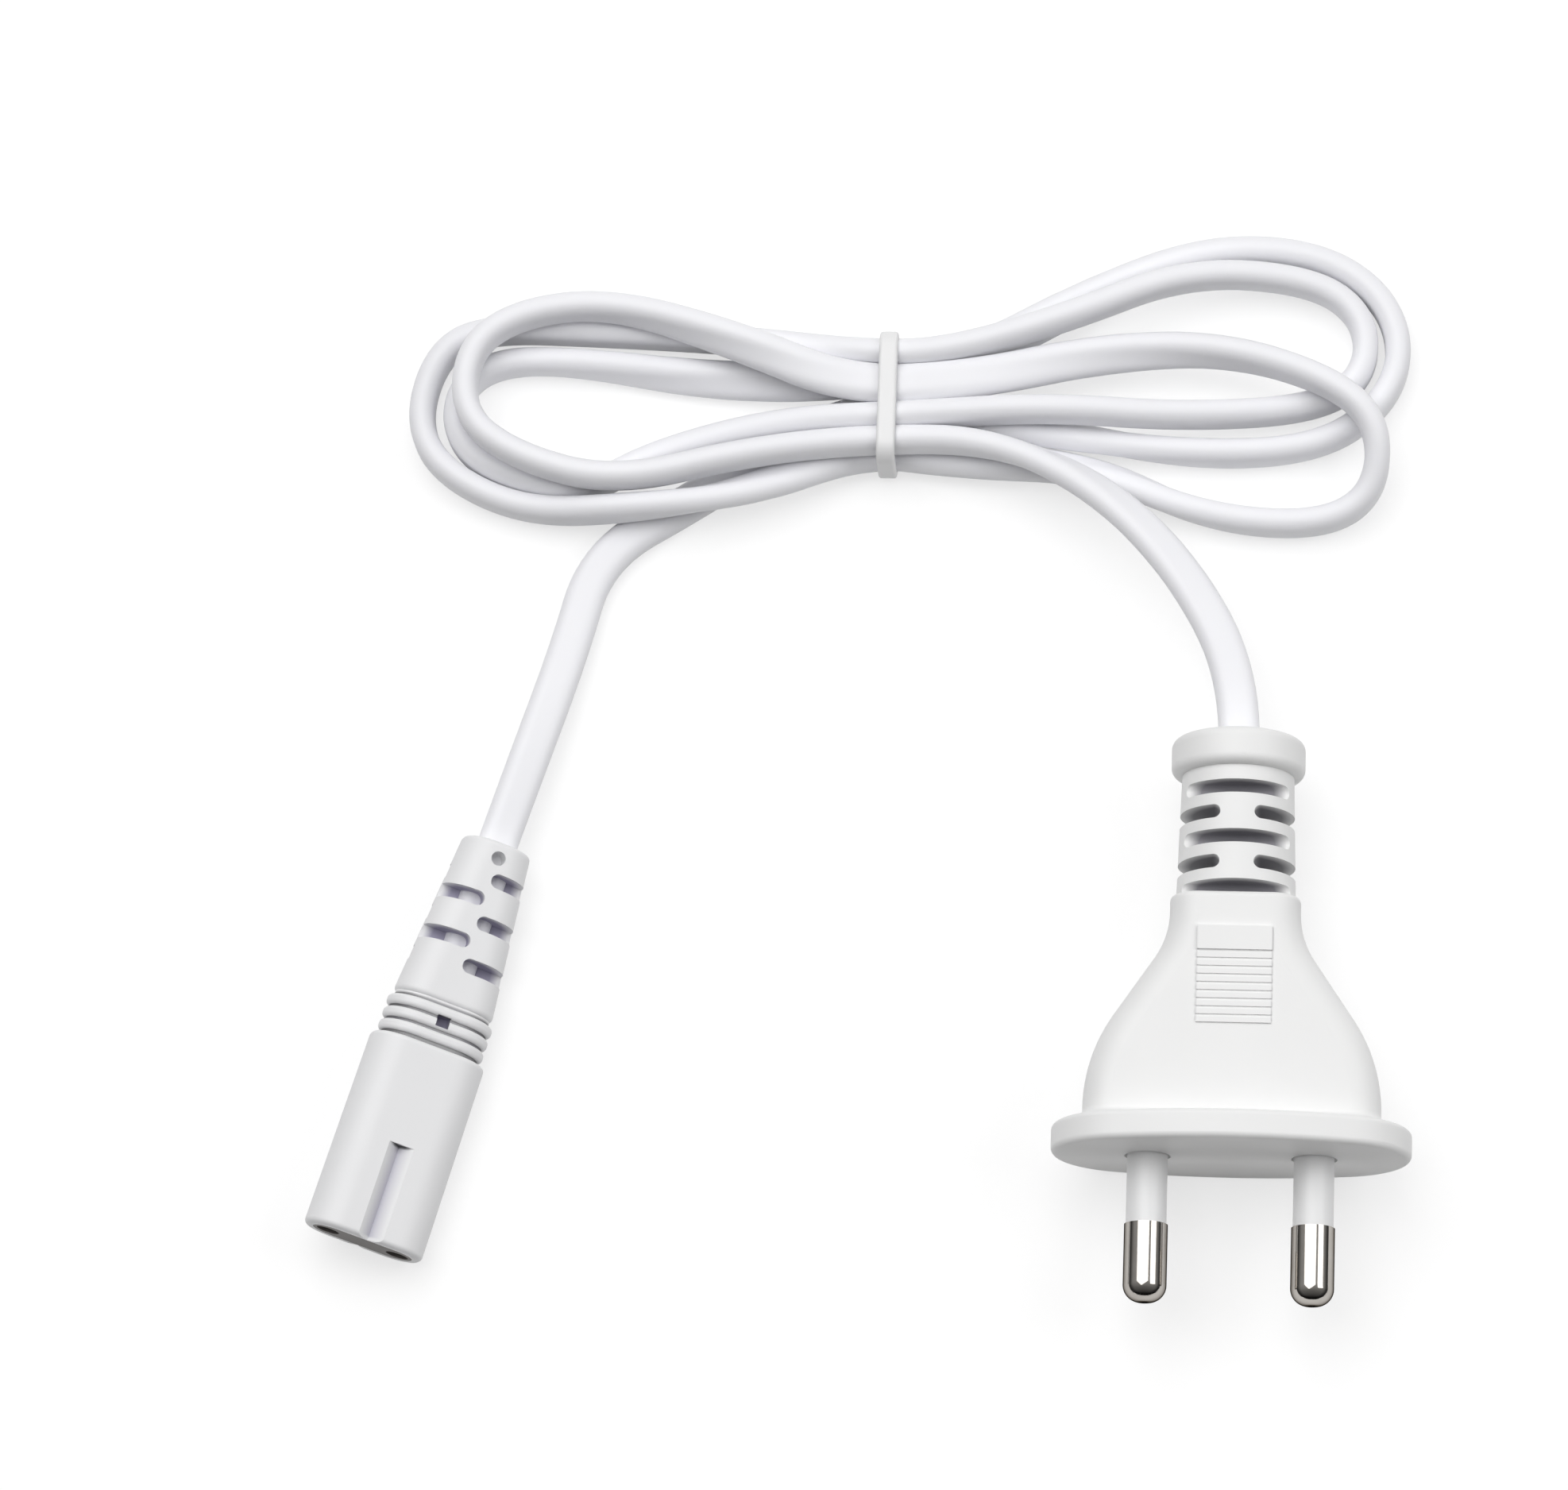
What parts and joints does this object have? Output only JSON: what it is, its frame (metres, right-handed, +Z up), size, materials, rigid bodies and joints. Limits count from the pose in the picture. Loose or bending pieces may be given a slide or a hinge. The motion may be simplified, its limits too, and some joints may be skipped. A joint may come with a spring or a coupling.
{
  "type": "mains plug with cord",
  "caption": "White moulded mains plug with round sleeved pins, oval flange and slotted strain relief, on a flat cord tied in a hank and ending in a figure-8 connector.",
  "frame": {"origin": "on the table, under the middle of the plug", "axes": "plug axis along Y with the pins towards -Y, X across the pins, +Z up from the table"},
  "size_m": [0.1284, 0.1341, 0.022],
  "materials": {
    "plug_moulding": "matte white PVC",
    "carrier": "matte",
    "pin_metal": "bright nickel plate",
    "pin_sleeve": "semi-gloss",
    "cord_sheath": "semi-gloss white PVC",
    "core_brown": "semi-gloss",
    "core_blue": "semi-gloss",
    "copper": "bare strands",
    "tie_plastic": "semi-gloss",
    "connector_moulding": "matte white PVC",
    "connector_insert": "dark matte plastic",
    "contact_metal": "bright"
  },
  "bodies": {
    "root": {"plug_body": "plug_moulding", "pin_carrier": "carrier", "pin_live": "pin_metal", "pin_neutral": "pin_metal", "pin_sleeve_live": "pin_sleeve", "pin_sleeve_neutral": "pin_sleeve", "core_live_plug": "core_brown", "core_neutral_plug": "core_blue", "wire_live_plug": "copper", "wire_neutral_plug": "copper", "cord_end_plug": "cord_sheath", "connector_body": "connector_moulding", "connector_insert": "connector_insert", "contact_live": "contact_metal", "contact_neutral": "contact_metal", "core_live_connector": "core_brown", "core_neutral_connector": "core_blue", "wire_live_connector": "copper", "wire_neutral_connector": "copper", "cord_end_connector": "cord_sheath", "lead_plug": "cord_sheath", "cord_hank": "cord_sheath", "lead_connector": "cord_sheath", "hank_tie": "tie_plastic"}
  },
  "joints": []
}
